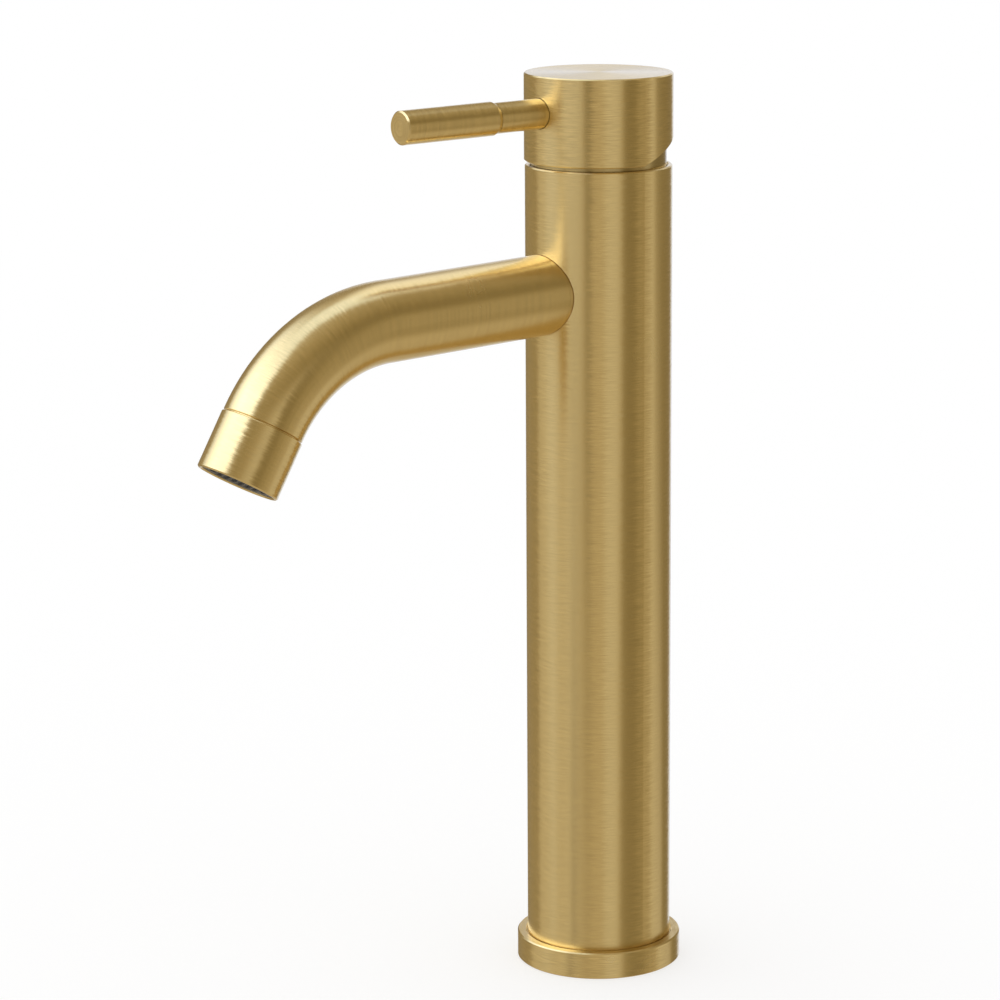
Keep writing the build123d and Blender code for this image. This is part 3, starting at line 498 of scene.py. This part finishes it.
def softbox_brightness(graph, direction, mirrored):
    """Large softbox on the left, with straight soft edges, fading to the rear and to the top.

    Where pieces mirror each other it reaches lower and fades less.
    """
    side = graph.vector("DOT_PRODUCT", direction, raised(*SOFTBOX_SIDE))
    foot = graph.vector("DOT_PRODUCT", direction, raised(*SOFTBOX_FOOT))
    lengthwise = graph.vector("DOT_PRODUCT", direction, raised(*SOFTBOX_BRIGHT))
    height = graph.split(direction)[2]
    inside = graph.fade(side, *SOFTBOX_REACH)
    glow = graph.math("MULTIPLY", graph.fade(height, *GLOW_LOW), mirrored)
    above = graph.math("MAXIMUM", graph.fade(foot, *SOFTBOX_LOW), glow)
    dimming = graph.stretch(height, *SOFTBOX_TOP)
    strength = graph.stretch(lengthwise, *SOFTBOX_FADE, 0.0, SOFTBOX_STRENGTH)
    least = graph.math("MULTIPLY", mirrored, GLOW_STRENGTH)
    strength = graph.math("MULTIPLY", dimming, graph.math("MAXIMUM", strength, least))
    return graph.math("MULTIPLY", graph.math("MULTIPLY", inside, above), strength)


def make_world():
    """White to the camera, a studio of panels to shiny surfaces, and even light to matt ones."""
    world = bpy.data.worlds.new("studio")
    bpy.context.scene.world = world
    world.use_nodes = True
    world.cycles.sampling_method = "NONE"
    graph = Graph(world.node_tree)
    direction = graph.add("ShaderNodeTexCoord").outputs["Generated"]
    ray = graph.add("ShaderNodeLightPath").outputs
    mirrored = graph.stretch(ray["Glossy Depth"], 1.0, 2.0, 0.0, 1.0)
    room = room_brightness(graph, direction)
    studio = graph.math("MAXIMUM", room, overhead_brightness(graph, direction))
    studio = graph.math("MAXIMUM", studio, softbox_brightness(graph, direction, mirrored))

    positions = [tone / TINT_TOP for tone, _ in PANEL_TINTS]
    colours = [[part / TINT_TOP for part in tint] + [1] for _, tint in PANEL_TINTS]
    tint = graph.ramp(graph.math("DIVIDE", studio, TINT_TOP), positions, colours)
    tint = graph.scaled(tint, TINT_TOP)

    shiny = graph.math("MAXIMUM", ray["Is Glossy Ray"], ray["Is Transmission Ray"])
    plain = graph.scaled(Vector((1, 1, 1)), graph.math("SUBTRACT", 1.0, shiny))
    colour = graph.vector("ADD", graph.scaled(tint, shiny), plain)
    indirect = graph.blend(shiny, ROOM_LIGHT, studio)
    strength = graph.blend(ray["Is Camera Ray"], indirect, 1.0)
    background = world.node_tree.nodes["Background"]
    graph.feed(background.inputs["Color"], colour)
    graph.feed(background.inputs["Strength"], strength)


def make_strip():
    """Light behind the spout for shiny pieces, kept off the lever."""
    towards = raised(*STRIP_PLACE)
    data = bpy.data.lights.new("strip", "AREA")
    data.shape = "RECTANGLE"
    data.size, data.size_y = STRIP_SIZE
    data.energy = STRIP_WATTS * STRIP_BRIGHTNESS * data.size * data.size_y
    data.color = STRIP_TINT
    data.use_nodes = True
    graph = Graph(data.node_tree)
    parametric = graph.add("ShaderNodeNewGeometry").outputs["Parametric"]
    across, along, _ = graph.split(parametric)
    strength = 1.0
    for place in (across, along):
        inset = graph.math("MINIMUM", place, graph.math("SUBTRACT", 1.0, place))
        strength = graph.math("MULTIPLY", graph.fade(inset, 0.0, STRIP_EDGE), strength)
    graph.feed(data.node_tree.nodes["Emission"].inputs["Strength"], strength)

    strip = bpy.data.objects.new("strip", data)
    strip.location = STRIP_DISTANCE * towards + SPOUT_HEIGHT * UP
    strip.rotation_euler = towards.to_track_quat("Z", "Y").to_euler()
    strip.visible_camera = False
    strip.visible_diffuse = False
    bpy.context.scene.collection.objects.link(strip)

    flagged = bpy.data.collections.new("flagged")
    for name in ("lever_stem", "lever_grip"):
        flagged.objects.link(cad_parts[name])
    strip.light_linking.receiver_collection = flagged
    for piece in flagged.collection_objects:
        piece.light_linking.link_state = "EXCLUDE"


def make_floor():
    """Pale floor that keeps the object's soft shadow and is white to the camera away from it."""
    bpy.ops.mesh.primitive_plane_add(size=FLOOR_SIZE, location=(0, 0, cad_box[0].z))
    floor = bpy.context.object
    floor.name = "floor"
    floor.visible_glossy = False
    material, graph, shader = new_material("floor")
    shader.inputs["Base Color"].default_value = (FLOOR_TONE, FLOOR_TONE, FLOOR_TONE, 1)
    shader.inputs["Roughness"].default_value = 1.0
    shader.inputs["Specular IOR Level"].default_value = 0.0
    shader.inputs["Emission Color"].default_value = (1, 1, 1, 1)
    seen = graph.add("ShaderNodeLightPath").outputs["Is Camera Ray"]
    lift = graph.math("MULTIPLY", seen, 1 - FLOOR_TONE * ROOM_LIGHT)
    graph.feed(shader.inputs["Emission Strength"], lift)
    floor.data.materials.append(material)


def make_camera():
    """Camera at the photograph's viewing angle."""
    data = bpy.data.cameras.new("camera")
    data.sensor_width = CAMERA_SENSOR
    data.lens = CAMERA_LENS
    data.shift_x = CAMERA_SHIFT
    camera = bpy.data.objects.new("camera", data)
    camera.location = CAMERA_DISTANCE * level(0) + CAMERA_HEIGHT * UP
    camera.rotation_euler = (radians(90 - CAMERA_PITCH), 0, radians(CAMERA_AZIMUTH))
    bpy.context.scene.collection.objects.link(camera)
    bpy.context.scene.camera = camera


dress_pieces()
make_world()
make_strip()
make_floor()
make_camera()
bpy.context.scene.view_settings.view_transform = "Standard"
